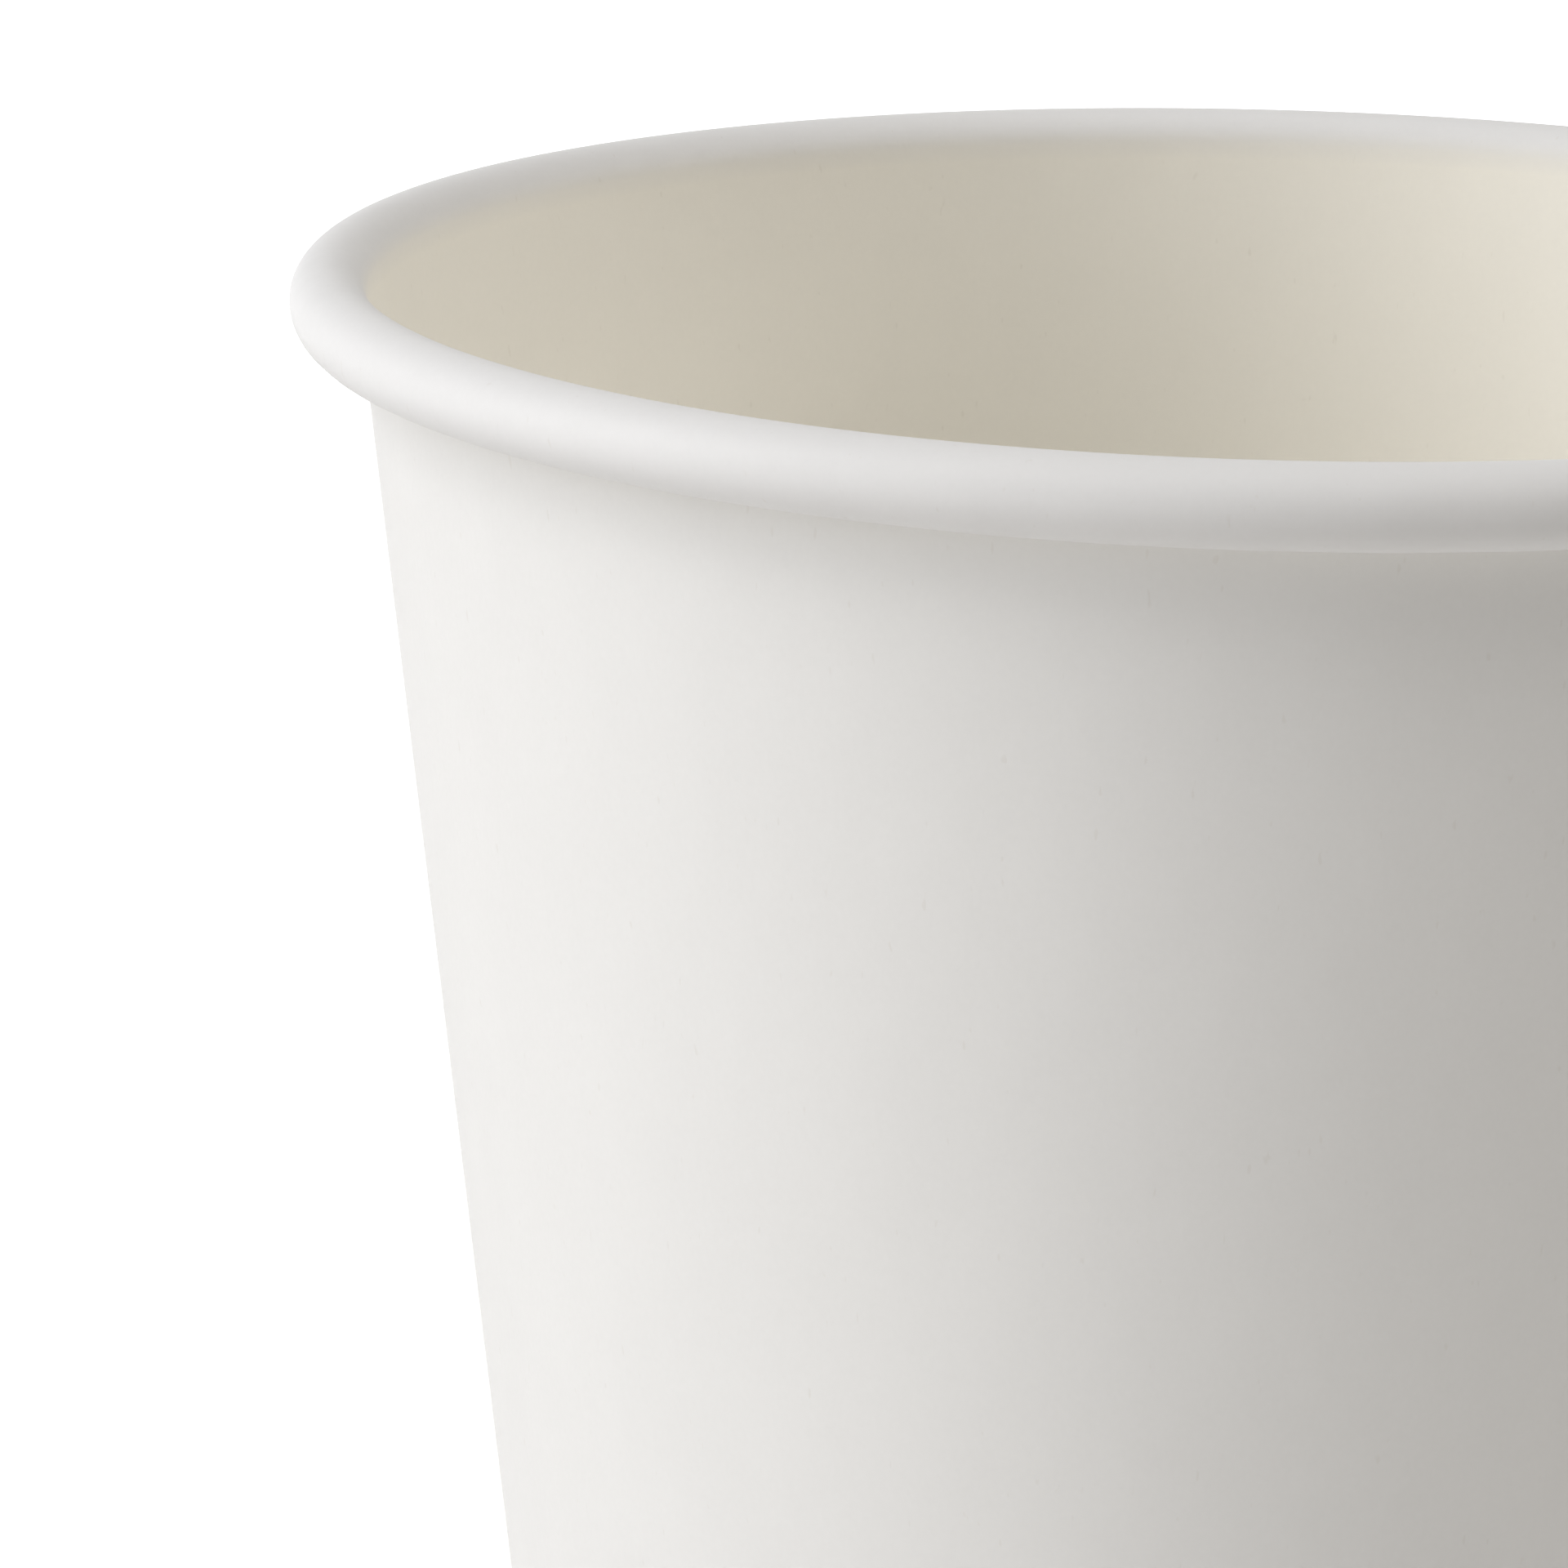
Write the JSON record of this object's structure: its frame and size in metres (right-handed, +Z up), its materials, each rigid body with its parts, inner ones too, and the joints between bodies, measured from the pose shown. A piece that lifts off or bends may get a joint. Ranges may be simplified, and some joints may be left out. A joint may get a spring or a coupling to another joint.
{
  "type": "paper coffee cup",
  "caption": "Tapered single-wall paper coffee cup with an overlapped side seam, an outward rolled rim and a recessed bottom held in the folded foot.",
  "frame": {"origin": "centre of the base, on the surface that the cup stands on", "axes": "+Z up along the cup's axis, -Y towards the viewer of the picture, +X to the viewer's right"},
  "size_m": [0.09, 0.09, 0.11],
  "materials": {
    "wall_board": "matte white board outside, lightly coated cream board inside",
    "bottom_board": "lightly coated cream board"
  },
  "bodies": {
    "root": {"side_wall": "wall_board", "bottom_disc": "bottom_board"}
  },
  "joints": []
}
